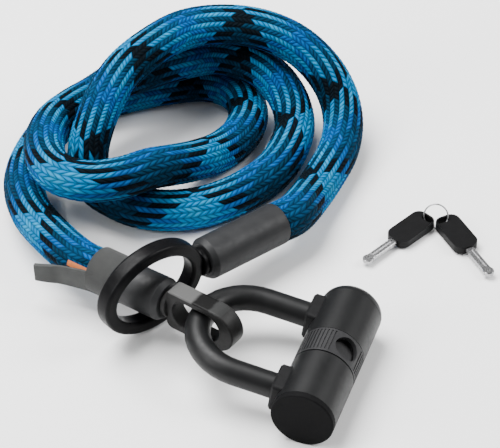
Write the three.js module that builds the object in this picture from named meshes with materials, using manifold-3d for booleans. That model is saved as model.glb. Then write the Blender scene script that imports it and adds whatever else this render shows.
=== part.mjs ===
// A textile rope lock for a bicycle. A thick braided rope lies in a loose coil of nearly three
// turns. Each end is crimped into a sleeve with a forged eye. The small eye is passed through
// the large one, and a small U-shaped shackle with a cylindrical lock barrel hangs in it. Two
// keys on a wire ring lie beside it. Millimetres, +Z up, everything rests on the plane Z = 0.
import * as THREE from 'three';
import { mergeVertices } from 'three/addons/utils/BufferGeometryUtils.js';
import Module from 'manifold-3d';

const wasm = await Module();
wasm.setup();

// ---------- driving dimensions ----------
// clearances
const GAP = 0.3;                  // between pieces that touch
const RUNNING = 0.4;              // round a part that slides or turns
const CUT = 1;                    // how far a cut runs past a face
const SINK = 0.2;                 // how far a face lies below a round surface

// rope
const ROPE_DIAMETER = 23.6;
const ROPE_SIDES = 10;
const ROPE_STEPS = 80;

// crimped sleeves
const SLEEVE_DIAMETER = 24;
const SLEEVE_WALL = 2.4;
const SLEEVE_NOSE = 3;            // length of the tapered nose on the eye side
const SLEEVE_NOSE_DIAMETER = 20;
const LARGE_SLEEVE_LENGTH = 54;
const SMALL_SLEEVE_LENGTH = 47;
const CORE_STUB_DIAMETER = 10;
const SHANK_DIAMETER = 10;
const SHANK_LENGTH = 16;
const NECK_DIAMETER = 16;
const NECK_LENGTH = 3;
const EYE_SEAT = 1;               // how far an eye sinks into its neck

// large eye, an oval ring
const LARGE_EYE_LENGTH = 67;
const LARGE_EYE_WIDTH = 53;
const LARGE_EYE_BAR = 7.5;
const LARGE_EYE_THICKNESS = 10;
const LARGE_EYE_CHAMFER = 2;

// small eye, a narrow slotted loop
const SMALL_EYE_LENGTH = 46.5;    // from the sleeve to the tip
const SMALL_EYE_WIDTH = 25.6;
const SMALL_EYE_BAR = 4.2;
const SMALL_EYE_TIP = 9;          // material beyond the slot
const SMALL_EYE_SHOULDER = 4;     // radius of its corners at the neck
const SMALL_EYE_DROOP = 2;        // degrees that it hangs below its shank
const SMALL_EYE_NECK = 6.5;       // from the sleeve to the slot
const SMALL_EYE_THICKNESS = 10.5;
const SMALL_EYE_CHAMFER = 0.5;

// woven label round the small sleeve
const LABEL_WIDTH = 17;
const LABEL_CLOTH = 0.8;
const LABEL_TAIL_THICKNESS = 1.4;
const LABEL_SEAM_HEIGHT = 15;     // height of the tail where it is sewn on
const LABEL_END_HEIGHT = 10.6;    // and at its loose end
const LABEL_TAIL = 29;            // how far the tail reaches past the band
const LABEL_SEAM = 5;             // how much of it is sewn to the band
const LABEL_STAND_OFF = 7;        // how far its end stands out from the sleeve
const LABEL_DROP = 1;
const LABEL_STEPS = 8;

// shackle
const SHACKLE_DIAMETER = 14;
const LEG_SPACING = 57;
const SHACKLE_REACH = 71.5;      // barrel axis to the centre of the bend's bar
const LEG_DEPTH = 9;              // how far a leg passes the barrel axis
const LEG_CHAMFER = 1.5;

// barrel
const BARREL_DIAMETER = 34;
const SHELL_WALL = 2.7;
const NEAR_RIM = 3.6;             // of shell between a bush's opening and the flat cap
const FAR_RIM = 0.9;              // and the rounded one
const NEAR_CAP = 3.3;
const NEAR_CHAMFER = 0.8;
const FAR_CAP = 7.5;
const FAR_ROUNDING = 7;
const BUSH_LENGTH = 19;           // along the barrel
const BUSH_HEIGHT = 18;
const BUSH_PROUD = 3.5;           // out of the barrel's surface
const BUSH_CORNER = 2;
const BUSH_CHAMFER = 1.2;
const PIN_DIAMETER = 3;
const PIN_LENGTH = 6;
const PIN_INSET = 6;              // from the end of each shell

// fluted dust cover
const COVER_NEAR = 10;            // from the middle of the legs towards the flat end
const COVER_FAR = 8.2;            // and towards the rounded end
const COVER_GROOVE = 0.9;         // open groove between the cover and the near shell
const FLUTES = 52;
const FLUTE_WIDTH = 0.8;
const FLUTE_DEPTH = 0.5;
const FLUTE_MARGIN = 1.2;         // plain rim at each end of the cover
const WINDOW_DIAMETER = 14;
const WINDOW_ANGLE = 30.5;        // degrees back from the top
const PAD_DIAMETER = 12.6;
const PAD_THICKNESS = 1;

// key cylinder, opposite the legs
const CYLINDER_OFFSET = 0.5;      // from the middle of the legs towards the flat end
const HOUSING_DIAMETER = 10.8;
const PLUG_DIAMETER = 8;
const HOUSING_LENGTH = 9;
const KEYWAY_WIDTH = 2;
const KEYWAY_HEIGHT = 5.4;
const KEYWAY_DEPTH = 7;
const CAM_THICKNESS = 2;
const CAM_DIAMETER = 11;
const CAM_PIN_DIAMETER = 1.6;
const BOLT_TRAVEL = 4;
const BOLT_DIAMETER = 6;
const BOLT_SET_BACK = 3;          // bolt line from the barrel axis towards the bend
const TAIL_LENGTH = 10.6;

// keys
const KEY_BOW_LENGTH = 29;
const KEY_BOW_WIDTH = 14.5;
const KEY_BOW_THICKNESS = 4.6;
const KEY_SLOT_LENGTH = 7.5;
const KEY_SLOT_WIDTH = 3.6;
const KEY_SLOT_INSET = 1.4;       // wall between the slot and the end of the bow
const KEY_SLOT_SIDE = 2.1;        // how far the slot lies off the key's middle
const KEY_BOW_CORNER = 5;
const KEY_BOW_CHAMFER = 0.6;
const KEY_BLADE_LENGTH = 24;
const KEY_BLADE_WIDTH = 4.8;
const KEY_BLADE_CORNER = 1;
const KEY_BLADE_THICKNESS = 2.6;
const KEY_BLADE_CHAMFER = 0.4;
const KEY_TIP_DIAMETER = 6.2;     // the round head of the blade
const KEY_DIMPLE_DIAMETER = 1.6;
const KEY_DIMPLE_DEPTH = 0.5;
const KEY_STEP_WIDTH = 0.8;       // cross groove behind the head
const KEY_STEP_DEPTH = 0.4;
const KEY_TANG = 6;
const KEY_GROOVE_WIDTH = 1.1;
const KEY_GROOVE_DEPTH = 0.7;
const RING_DIAMETER = 13.6;
const RING_WIRE = 0.9;
const RING_LEAN = 61.1;           // degrees from lying flat
const RING_TURN = -9.3;           // and turned about the vertical

// ---------- where things lie ----------
const LARGE_END = { at: [-26, -60.6, 26.5], heading: -139.3, rise: 4 };
const SMALL_END = { at: [-43.6, -91.8, 25.5], heading: -36.4, rise: 3 };
const BARREL_AT = [41, -129.8, 17];
const BARREL_HEADING = 161.3;     // from the barrel to the bend
const BARREL_PITCH = 7.5;
const KEY_ONE = { at: [98.36, -0.58, 0], heading: -134.6, side: 1 };
const KEY_TWO = { at: [110.6, -2.43, 0], heading: -63.3, side: -1 };
const KEY_LIFT = 1.2;             // height of the underside of the bows
const RING_AT = [104.72, -0.63, 6.45];
const MIDDLE = [-1.86, -26.13, 0]; // the middle of the floor space it all takes

// The rope between its two sleeves: out of the large end's to the right, over the coil and back
// in to the small end's.
const ROPE_ROUTE = [
  [23.9, -17.7, 21.9], [33.5, 5.5, 15], [43, 28, 13], [51, 49, 14],
  [54, 68, 19], [51, 82, 28], [42, 92, 40], [27, 99, 52], [7, 103, 60], [-16, 105, 62],
  [-38, 100, 62], [-56, 84, 62], [-72, 64, 60], [-82, 46, 54], [-88, 32, 45], [-91, 23, 35],
  [-91, 18, 26], [-86, 12, 18], [-77, 7, 14], [-64, 1, 12], [-47, -2, 12], [-30, 0, 12],
  [-16, 6, 12], [-2, 16, 12], [13, 32, 12], [22, 51, 13], [26, 71, 16], [22, 85, 24],
  [11, 97, 32], [-6, 106, 36], [-23, 110, 36], [-43, 104, 36], [-61, 95, 36], [-77, 85, 36],
  [-90, 71, 36], [-102, 58, 37], [-112, 41, 39], [-115.5, 22, 40], [-112, 3, 42],
  [-103, -10, 44], [-88, -14, 43.5], [-71, -8, 41], [-56, 3, 38], [-44, 16, 30],
  [-31, 31, 21], [-17, 49, 13], [-6, 64, 12], [-1, 82, 12], [-4, 99, 12], [-13, 110, 12],
  [-28, 115, 12], [-48, 112, 12], [-71, 105, 12], [-93, 94, 12], [-112, 75, 12],
  [-124, 49, 12], [-128, 20, 14], [-122, -9, 17], [-107, -36, 20], [-91, -56.8, 22.4],
];

// ---------- materials ----------
const material = (color, roughness, metalness) =>
  () => new THREE.MeshStandardMaterial({ color, roughness, metalness });
const braid = material(0x1d6fb0, 0.8, 0);
const fibre = material(0xb8b2a2, 0.9, 0);
const sleeveGrey = material(0x3b3c3e, 0.6, 0);
const forgedBlack = material(0x2a2b2e, 0.4, 0.6);
const zincSteel = material(0x9a9da0, 0.35, 1);
const satinBlack = material(0x1c1d1f, 0.45, 0);
const bushBlack = material(0x151617, 0.7, 0);
const brass = material(0xb89650, 0.35, 1);
const labelGrey = material(0x8a8c8c, 0.9, 0);
const keySteel = material(0xb9bcbf, 0.3, 1);
const bowBlack = material(0x1a1a1c, 0.5, 0);

// ---------- solids ----------
const AXES = {
  x: new THREE.Matrix4().makeRotationZ(-Math.PI / 2),
  y: new THREE.Matrix4(),
  z: new THREE.Matrix4().makeRotationX(Math.PI / 2),
};

function toSolid(geometry) {
  const bare = geometry.clone();
  bare.deleteAttribute('normal');
  bare.deleteAttribute('uv');
  const merged = mergeVertices(bare, 1e-4);
  const vertProperties = new Float32Array(merged.attributes.position.array);
  const triVerts = new Uint32Array(merged.index.array);
  return new wasm.Manifold(new wasm.Mesh({ numProp: 3, vertProperties, triVerts }));
}

function toGeometry(solid) {
  const mesh = solid.getMesh();
  const geometry = new THREE.BufferGeometry();
  geometry.setAttribute('position', new THREE.BufferAttribute(mesh.vertProperties, 3));
  geometry.setIndex(new THREE.BufferAttribute(mesh.triVerts, 1));
  const flat = geometry.toNonIndexed();
  flat.computeVertexNormals();
  return flat;
}

// A round bar along one axis, from start to end on that axis, about a centre on the others.
function bar(axis, radius, start, end, centre = [0, 0, 0], sides = 24) {
  const geometry = new THREE.CylinderGeometry(radius, radius, Math.abs(end - start), sides);
  geometry.applyMatrix4(AXES[axis]);
  const middle = new THREE.Vector3(...centre);
  middle[axis] = (start + end) / 2;
  geometry.translate(middle.x, middle.y, middle.z);
  return toSolid(geometry);
}

function block(low, high) {
  const size = high.map((value, i) => value - low[i]);
  const geometry = new THREE.BoxGeometry(...size);
  geometry.translate(...low.map((value, i) => value + size[i] / 2));
  return toSolid(geometry);
}

// A turned piece about the X axis from [x, radius] points that start and end on the axis, or
// about the Y axis.
function turned(axis, profile, sides = 32) {
  const points = profile.map(([along, radius]) => new THREE.Vector2(radius, along));
  const geometry = new THREE.LatheGeometry(points, sides);
  geometry.applyMatrix4(AXES[axis]);
  return toSolid(geometry);
}

// A flat plate in the XY plane, centred on Z = 0, with chamfered edges.
function plate(outline, hole, thickness, chamfer, curveSegments = 12) {
  if (hole) outline.holes.push(hole);
  const geometry = new THREE.ExtrudeGeometry(outline, {
    depth: thickness - 2 * chamfer,
    bevelEnabled: chamfer > 0,
    bevelThickness: chamfer,
    bevelSize: chamfer,
    bevelOffset: -chamfer,
    bevelSegments: 1,
    curveSegments,
  });
  geometry.translate(0, 0, -thickness / 2 + chamfer);
  return toSolid(geometry);
}

// A rounded rectangle from x0 to x1, half high each side of the X axis.
function lozenge(ShapeClass, x0, x1, half, corner) {
  const path = new ShapeClass();
  path.moveTo(x0 + corner, -half);
  path.lineTo(x1 - corner, -half);
  path.absarc(x1 - corner, -half + corner, corner, -Math.PI / 2, 0, false);
  path.lineTo(x1, half - corner);
  path.absarc(x1 - corner, half - corner, corner, 0, Math.PI / 2, false);
  path.lineTo(x0 + corner, half);
  path.absarc(x0 + corner, half - corner, corner, Math.PI / 2, Math.PI, false);
  path.lineTo(x0, -half + corner);
  path.absarc(x0 + corner, -half + corner, corner, Math.PI, 1.5 * Math.PI, false);
  return path;
}

function piece(parent, name, shape, finish) {
  const geometry = shape.isBufferGeometry ? shape : toGeometry(shape);
  const mesh = new THREE.Mesh(geometry, finish());
  mesh.name = name;
  parent.add(mesh);
  return mesh;
}

const radians = (degrees) => degrees * Math.PI / 180;

const lock = new THREE.Group();
lock.position.set(-MIDDLE[0], -MIDDLE[1], -MIDDLE[2]);

// A frame whose X axis points along a heading and rises.
function frameAt({ at, heading, rise = 0 }) {
  const frame = new THREE.Group();
  frame.position.set(...at);
  frame.rotation.set(0, radians(-rise), radians(heading), 'ZYX');
  lock.add(frame);
  return frame;
}

// ---------- rope ----------
// The middle of a sleeve's mouth, where the rope meets it face to face.
function mouth({ at, heading, rise }, length) {
  return new THREE.Vector3(-length - GAP, 0, 0)
    .applyEuler(new THREE.Euler(0, radians(-rise), radians(heading), 'ZYX'))
    .add(new THREE.Vector3(...at));
}
const route = new THREE.CatmullRomCurve3([
  mouth(LARGE_END, LARGE_SLEEVE_LENGTH),
  ...ROPE_ROUTE.map((point) => new THREE.Vector3(...point)),
  mouth(SMALL_END, SMALL_SLEEVE_LENGTH),
], false, 'centripetal');
route.arcLengthDivisions = 2000;
const ropeSection = new THREE.Shape(
  Array.from({ length: ROPE_SIDES }, (_, i) => {
    const angle = 2 * Math.PI * i / ROPE_SIDES;
    return new THREE.Vector2(Math.cos(angle), Math.sin(angle)).multiplyScalar(ROPE_DIAMETER / 2);
  }));
piece(lock, 'rope', new THREE.ExtrudeGeometry(ropeSection, {
  steps: ROPE_STEPS,
  extrudePath: route,
  bevelEnabled: false,
}), braid);

// ---------- crimped rope ends ----------
// Local X runs from the rope to the eye, and X = 0 is the sleeve's nose.
function ropeEnd(frame, name, length) {
  const outer = SLEEVE_DIAMETER / 2;
  const bore = outer - SLEEVE_WALL;
  const nose = SLEEVE_NOSE_DIAMETER / 2;
  const shank = SHANK_DIAMETER / 2;
  const shell = turned('x', [
    [-length, 0], [-length, outer], [-SLEEVE_NOSE, outer], [0, nose], [0, 0],
  ]);
  const ferruleEnd = -SLEEVE_NOSE;
  const hollow = bar('x', bore, -length - CUT, ferruleEnd + GAP);
  const throat = bar('x', shank + RUNNING, -SLEEVE_NOSE - CUT, CUT);
  piece(frame, `${name}_sleeve`, shell.subtract(hollow).subtract(throat), sleeveGrey);

  const ferrule = bar('x', bore - GAP, -length + GAP, ferruleEnd);
  const shankBore = bar('x', shank + GAP, -SHANK_LENGTH - GAP, CUT);
  const coreBore = bar('x', CORE_STUB_DIAMETER / 2 + GAP, -length - CUT, -SHANK_LENGTH - 2 * GAP);
  piece(frame, `${name}_ferrule`, ferrule.subtract(shankBore.add(coreBore)), zincSteel);
  const stub = bar('x', CORE_STUB_DIAMETER / 2, -length + GAP, -SHANK_LENGTH - 3 * GAP);
  piece(frame, `${name}_core`, stub, fibre);
}

// The neck and shank that tie an eye into its ferrule.
function neckAndShank() {
  const neck = bar('x', NECK_DIAMETER / 2, GAP, GAP + NECK_LENGTH);
  const shank = bar('x', SHANK_DIAMETER / 2, -SHANK_LENGTH, GAP + NECK_LENGTH);
  return neck.add(shank);
}

const largeEnd = frameAt(LARGE_END);
ropeEnd(largeEnd, 'large_end', LARGE_SLEEVE_LENGTH);
const largeEyeMiddle = LARGE_EYE_LENGTH / 2 + GAP + NECK_LENGTH - EYE_SEAT;
const largeOutline = new THREE.Shape();
largeOutline.absellipse(largeEyeMiddle, 0, LARGE_EYE_LENGTH / 2, LARGE_EYE_WIDTH / 2,
  0, 2 * Math.PI, false, 0);
const largeHole = new THREE.Path();
largeHole.absellipse(largeEyeMiddle, 0, LARGE_EYE_LENGTH / 2 - LARGE_EYE_BAR,
  LARGE_EYE_WIDTH / 2 - LARGE_EYE_BAR, 0, 2 * Math.PI, false, 0);
const largeRing = plate(largeOutline, largeHole, LARGE_EYE_THICKNESS, LARGE_EYE_CHAMFER, 36);
const upright = new THREE.Group();
upright.rotation.x = Math.PI / 2;
largeEnd.add(upright);
piece(upright, 'large_eye', largeRing.add(neckAndShank()), forgedBlack);

const smallEnd = frameAt(SMALL_END);
ropeEnd(smallEnd, 'small_end', SMALL_SLEEVE_LENGTH);
const slotEnd = SMALL_EYE_LENGTH - SMALL_EYE_TIP;
const slotHalf = SMALL_EYE_WIDTH / 2 - SMALL_EYE_BAR;
const smallHalf = SMALL_EYE_WIDTH / 2;
const smallStart = GAP + NECK_LENGTH - EYE_SEAT;
const smallOutline = new THREE.Shape();
smallOutline.moveTo(smallStart + SMALL_EYE_SHOULDER, -smallHalf);
smallOutline.absarc(SMALL_EYE_LENGTH - smallHalf, 0, smallHalf, -Math.PI / 2, Math.PI / 2, false);
smallOutline.absarc(smallStart + SMALL_EYE_SHOULDER, smallHalf - SMALL_EYE_SHOULDER,
  SMALL_EYE_SHOULDER, Math.PI / 2, Math.PI, false);
smallOutline.absarc(smallStart + SMALL_EYE_SHOULDER, -smallHalf + SMALL_EYE_SHOULDER,
  SMALL_EYE_SHOULDER, Math.PI, 1.5 * Math.PI, false);
const smallSlot = lozenge(THREE.Path, SMALL_EYE_NECK, slotEnd, slotHalf, slotHalf - SINK);
const smallLoop = plate(smallOutline, smallSlot, SMALL_EYE_THICKNESS, SMALL_EYE_CHAMFER, 10)
  .translate([-smallStart, 0, 0]).rotate([0, 0, -SMALL_EYE_DROOP]).translate([smallStart, 0, 0]);
const smallUpright = new THREE.Group();
smallUpright.rotation.x = Math.PI / 2;
smallEnd.add(smallUpright);
piece(smallUpright, 'small_eye', smallLoop.add(neckAndShank()), forgedBlack);

// ---------- woven label ----------
// A band sewn round the rope end of the small sleeve, with a loose folded tail on the near side.
const labelInner = SLEEVE_DIAMETER / 2 + GAP;
const labelOuter = labelInner + LABEL_CLOTH;
const labelStart = -SMALL_SLEEVE_LENGTH;
const labelBand = bar('x', labelOuter, labelStart, labelStart + LABEL_WIDTH, [0, 0, 0], 32)
  .subtract(bar('x', labelInner, labelStart - CUT, labelStart + LABEL_WIDTH + CUT, [0, 0, 0], 32));
const tailRows = Array.from({ length: LABEL_STEPS + 1 }, (_, i) => {
  const out = -LABEL_SEAM + (LABEL_TAIL + LABEL_SEAM) * i / LABEL_STEPS;
  const share = Math.max(0, out / LABEL_TAIL);
  return new THREE.Vector3(labelStart - out, -labelOuter - LABEL_STAND_OFF * share ** 2,
    -LABEL_DROP * share);
});

// The tail as a strip: four corners at each row, joined row to row.
function strip(rows, startHeight, endHeight, thickness) {
  const positions = [];
  const index = [];
  rows.forEach((row, i) => {
    const before = rows[Math.max(i - 1, 0)];
    const after = rows[Math.min(i + 1, rows.length - 1)];
    const along = after.clone().sub(before).setZ(0).normalize();
    const across = new THREE.Vector3(-along.y, along.x, 0).multiplyScalar(thickness / 2);
    const height = startHeight + (endHeight - startHeight) * i / (rows.length - 1);
    const up = new THREE.Vector3(0, 0, height / 2);
    const corners = [[-1, -1], [1, -1], [1, 1], [-1, 1]];
    corners.forEach(([side, level]) => {
      const corner = row.clone().addScaledVector(across, side).addScaledVector(up, level);
      positions.push(corner.x, corner.y, corner.z);
    });
  });
  for (let i = 0; i < rows.length - 1; i += 1) {
    for (let k = 0; k < 4; k += 1) {
      const a = 4 * i + k;
      const b = 4 * i + (k + 1) % 4;
      index.push(a, b, b + 4, a, b + 4, a + 4);
    }
  }
  const last = 4 * (rows.length - 1);
  index.push(0, 3, 2, 0, 2, 1, last, last + 1, last + 2, last, last + 2, last + 3);
  const geometry = new THREE.BufferGeometry();
  geometry.setAttribute('position', new THREE.Float32BufferAttribute(positions, 3));
  geometry.setIndex(index);
  return toSolid(geometry);
}
const labelTail = strip(tailRows, LABEL_SEAM_HEIGHT, LABEL_END_HEIGHT, LABEL_TAIL_THICKNESS)
  .subtract(bar('x', labelInner, labelStart - LABEL_TAIL, labelStart + LABEL_WIDTH, [0, 0, 0], 32));
piece(smallEnd, 'label', labelBand.add(labelTail), labelGrey);

// ---------- shackle ----------
// Local X runs from the barrel to the bend and local Y along the barrel to its flat end.
const ulock = frameAt({ at: BARREL_AT, heading: BARREL_HEADING, rise: BARREL_PITCH });
const legRadius = SHACKLE_DIAMETER / 2;
const bendRadius = LEG_SPACING / 2;
const bendStart = SHACKLE_REACH - bendRadius;
const BEND_STEPS = 20;
const bendPoints = Array.from({ length: BEND_STEPS + 1 }, (_, i) => {
  const angle = -Math.PI / 2 + Math.PI * i / BEND_STEPS;
  return [bendStart + bendRadius * Math.cos(angle), bendRadius * Math.sin(angle)];
});

// A round bar swept along a bent line in the XY plane, closed by flat ends.
function sweptBar(points, radiusAt, sides) {
  const positions = [];
  const index = [];
  points.forEach(([x, y], i) => {
    const before = points[Math.max(i - 1, 0)];
    const after = points[Math.min(i + 1, points.length - 1)];
    const along = new THREE.Vector2(after[0] - before[0], after[1] - before[1]).normalize();
    for (let k = 0; k < sides; k += 1) {
      const angle = 2 * Math.PI * k / sides;
      const side = radiusAt(i) * Math.cos(angle);
      positions.push(x - along.y * side, y + along.x * side, radiusAt(i) * Math.sin(angle));
    }
  });
  for (let i = 0; i < points.length - 1; i += 1) {
    for (let k = 0; k < sides; k += 1) {
      const a = sides * i + k;
      const b = sides * i + (k + 1) % sides;
      index.push(a, b, b + sides, a, b + sides, a + sides);
    }
  }
  const last = sides * (points.length - 1);
  for (let k = 1; k < sides - 1; k += 1) {
    index.push(0, k + 1, k, last, last + k, last + k + 1);
  }
  const geometry = new THREE.BufferGeometry();
  geometry.setAttribute('position', new THREE.Float32BufferAttribute(positions, 3));
  geometry.setIndex(index);
  return toSolid(geometry);
}
const shackleLine = [
  [-LEG_DEPTH, -bendRadius], [-LEG_DEPTH + LEG_CHAMFER, -bendRadius], ...bendPoints,
  [-LEG_DEPTH + LEG_CHAMFER, bendRadius], [-LEG_DEPTH, bendRadius],
];
const shackleEnds = new Set([0, shackleLine.length - 1]);
const shackleBar = sweptBar(shackleLine,
  (i) => (shackleEnds.has(i) ? legRadius - LEG_CHAMFER : legRadius), 20);
const notchRadius = BOLT_DIAMETER / 2 + RUNNING;
const notchHalf = bendRadius - legRadius + BOLT_TRAVEL - GAP;
const notches = bar('y', notchRadius, -notchHalf, notchHalf, [BOLT_SET_BACK, 0, 0]);
piece(ulock, 'shackle', shackleBar.subtract(notches), satinBlack);

// ---------- barrel ----------
const shellRadius = BARREL_DIAMETER / 2;
const shellBore = shellRadius - SHELL_WALL;
const coreRadius = shellBore - GAP;
const openingEnd = LEG_SPACING / 2 + BUSH_LENGTH / 2 + GAP;
const coreNear = openingEnd + NEAR_RIM;
const coreFar = openingEnd + FAR_RIM;
const nearEnd = coreNear + GAP + NEAR_CAP;
const farEnd = coreFar + GAP + FAR_CAP;
const socketRadius = legRadius + RUNNING;
const bushHalf = BUSH_LENGTH / 2;
const bushRise = BUSH_HEIGHT / 2;
const bushTop = shellRadius + BUSH_PROUD;
const housingRadius = HOUSING_DIAMETER / 2;
const plugRadius = PLUG_DIAMETER / 2;
const pinRadius = CAM_PIN_DIAMETER / 2;
const boltRadius = BOLT_DIAMETER / 2;
const pinCircle = BOLT_TRAVEL / Math.SQRT2;
const cylinderY = CYLINDER_OFFSET;

// The face of the key cylinder stays inside the turning dust cover.
const faceDepth = Math.sqrt((coreRadius - SINK) ** 2 - housingRadius ** 2);
const housingEnd = faceDepth - HOUSING_LENGTH;
const camTop = -housingEnd + GAP;
const camEnd = camTop + CAM_THICKNESS;
const pinEnd = BOLT_SET_BACK + GAP;

const windowTurn = new THREE.Matrix4().makeRotationY(-radians(WINDOW_ANGLE));
function aimedAtWindow(radius, from, to) {
  const geometry = new THREE.CylinderGeometry(radius, radius, to - from, 24);
  geometry.applyMatrix4(AXES.z);
  geometry.translate(0, cylinderY, (from + to) / 2);
  geometry.applyMatrix4(windowTurn);
  return toSolid(geometry);
}
const padTop = Math.sqrt((coreRadius - SINK) ** 2 - (PAD_DIAMETER / 2) ** 2);
const padBottom = padTop - PAD_THICKNESS;

const sockets = bar('x', socketRadius, -LEG_DEPTH - RUNNING, shellRadius, [0, bendRadius, 0])
  .add(bar('x', socketRadius, -LEG_DEPTH - RUNNING, shellRadius, [0, -bendRadius, 0]));
const tunnel = bar('y', boltRadius + RUNNING, -bendRadius, bendRadius, [BOLT_SET_BACK, 0, 0]);
const cylinderBore = bar('x', housingRadius + GAP, -shellRadius, camEnd + GAP,
  [0, cylinderY, 0]);
const pinRoom = bar('x', pinCircle + pinRadius + RUNNING, camEnd, pinEnd + RUNNING,
  [0, cylinderY, 0]);
const padSeat = aimedAtWindow(PAD_DIAMETER / 2 + GAP, padBottom - GAP, shellRadius);
const pinNearY = coreNear - PIN_INSET;
const pinFarY = -coreFar + PIN_INSET;
const pinTop = -shellRadius + PIN_LENGTH;
function pinHole(y) {
  return bar('z', PIN_DIAMETER / 2 + GAP, -shellRadius - CUT, pinTop + GAP, [0, y, 0], 12);
}
const pinHoles = pinHole(pinNearY).add(pinHole(pinFarY));
const core = bar('y', coreRadius, -coreFar, coreNear, [0, 0, 0], 32);
piece(ulock, 'barrel_core',
  core.subtract(sockets).subtract(tunnel).subtract(cylinderBore).subtract(pinRoom)
    .subtract(padSeat).subtract(pinHoles), zincSteel);

// A leg's bush is a block with rounded corners, and its opening is the same block grown.
function bushBlock(y, low, high, clearance, chamfer) {
  const face = lozenge(THREE.Shape, -bushRise - clearance, bushRise + clearance,
    bushHalf + clearance, BUSH_CORNER + clearance);
  return plate(face, null, high - low, chamfer, 3)
    .rotate([0, 90, 0]).translate([(low + high) / 2, y, 0]);
}
function bushAt(y) {
  return bushBlock(y, coreRadius - BUSH_PROUD, bushTop, 0, BUSH_CHAMFER)
    .subtract(bar('y', shellBore, y - bushHalf - CUT, y + bushHalf + CUT, [0, 0, 0], 32))
    .subtract(bar('x', socketRadius, 0, bushTop + CUT, [0, y, 0]));
}
function bushOpening(y) {
  return bushBlock(y, 0, bushTop + CUT, GAP, 0);
}
function shell(low, high) {
  return bar('y', shellRadius, low, high, [0, 0, 0], 40)
    .subtract(bar('y', shellBore, low - CUT, high + CUT, [0, 0, 0], 40));
}
piece(ulock, 'barrel_near_shell',
  shell(COVER_NEAR, coreNear).subtract(bushOpening(bendRadius)).subtract(pinHoles),
  satinBlack);
piece(ulock, 'barrel_far_shell',
  shell(-coreFar, -COVER_FAR - GAP).subtract(bushOpening(-bendRadius)).subtract(pinHoles),
  satinBlack);
piece(ulock, 'near_bush', bushAt(bendRadius), bushBlack);
piece(ulock, 'far_bush', bushAt(-bendRadius), bushBlack);
for (const [name, y] of [['near_shell_pin', pinNearY], ['far_shell_pin', pinFarY]]) {
  piece(ulock, name, bar('z', PIN_DIAMETER / 2, -shellRadius + SINK, pinTop, [0, y, 0], 12),
    zincSteel);
}

piece(ulock, 'near_end_cap', turned('y', [
  [nearEnd - NEAR_CAP, 0], [nearEnd - NEAR_CAP, shellRadius],
  [nearEnd - NEAR_CHAMFER, shellRadius], [nearEnd, shellRadius - NEAR_CHAMFER], [nearEnd, 0],
], 40), satinBlack);
const roundingSteps = 6;
const farProfile = [[-farEnd, 0]];
for (let i = 0; i <= roundingSteps; i += 1) {
  const angle = Math.PI / 2 * i / roundingSteps;
  farProfile.push([-farEnd + FAR_ROUNDING * (1 - Math.cos(angle)),
    shellRadius - FAR_ROUNDING * (1 - Math.sin(angle))]);
}
farProfile.push([-farEnd + FAR_CAP, shellRadius], [-farEnd + FAR_CAP, 0]);
piece(ulock, 'far_end_cap', turned('y', farProfile, 40), satinBlack);

// ---------- fluted dust cover ----------
const coverNear = COVER_NEAR - COVER_GROOVE;
let cover = bar('y', shellRadius, -COVER_FAR, coverNear, [0, 0, 0], 40)
  .subtract(bar('y', shellBore, -COVER_FAR - CUT, COVER_NEAR, [0, 0, 0], 40));
const windowClear = Math.asin((WINDOW_DIAMETER / 2 + FLUTE_WIDTH) / shellRadius);
for (let i = 0; i < FLUTES; i += 1) {
  const angle = 2 * Math.PI * i / FLUTES;
  const fromWindow = Math.atan2(Math.sin(angle + radians(WINDOW_ANGLE)),
    Math.cos(angle + radians(WINDOW_ANGLE)));
  if (Math.abs(fromWindow) > windowClear) {
    const flute = new THREE.BoxGeometry(FLUTE_WIDTH, COVER_FAR + coverNear - 2 * FLUTE_MARGIN,
      2 * FLUTE_DEPTH);
    flute.translate(0, (coverNear - COVER_FAR) / 2, shellRadius);
    flute.rotateY(angle);
    cover = cover.subtract(toSolid(flute));
  }
}
const windowCut = aimedAtWindow(WINDOW_DIAMETER / 2, coreRadius / 2, shellRadius + CUT);
piece(ulock, 'dust_cover', cover.subtract(windowCut), satinBlack);
piece(ulock, 'blank_pad', aimedAtWindow(PAD_DIAMETER / 2, padBottom, padTop), satinBlack);

// ---------- key cylinder and bolts ----------
const housing = bar('x', housingRadius, -faceDepth, -housingEnd, [0, cylinderY, 0])
  .subtract(bar('x', plugRadius + GAP, -shellRadius, 0, [0, cylinderY, 0]));
piece(ulock, 'cylinder_housing', housing, brass);
const keyway = block([-shellRadius, cylinderY - KEYWAY_WIDTH / 2, -KEYWAY_HEIGHT / 2],
  [-faceDepth + KEYWAY_DEPTH, cylinderY + KEYWAY_WIDTH / 2, KEYWAY_HEIGHT / 2]);
const plug = bar('x', plugRadius, -faceDepth + GAP, -housingEnd, [0, cylinderY, 0])
  .subtract(keyway);
piece(ulock, 'cylinder_plug', plug, brass);

// The cam turns with the plug, and its two pins draw the bolts back or push them out.
const pinAngle = Math.PI / 4;
const pinOut = pinCircle * Math.cos(pinAngle);
const pinSide = pinCircle * Math.sin(pinAngle);
const camDisc = bar('x', CAM_DIAMETER / 2, camTop, camEnd, [0, cylinderY, 0]);
const camPins = [1, -1].map((side) => bar('x', pinRadius, camTop, pinEnd,
  [0, cylinderY - side * pinSide, side * pinOut], 12));
piece(ulock, 'bolt_cam', camDisc.add(camPins[0]).add(camPins[1]), zincSteel);

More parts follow.
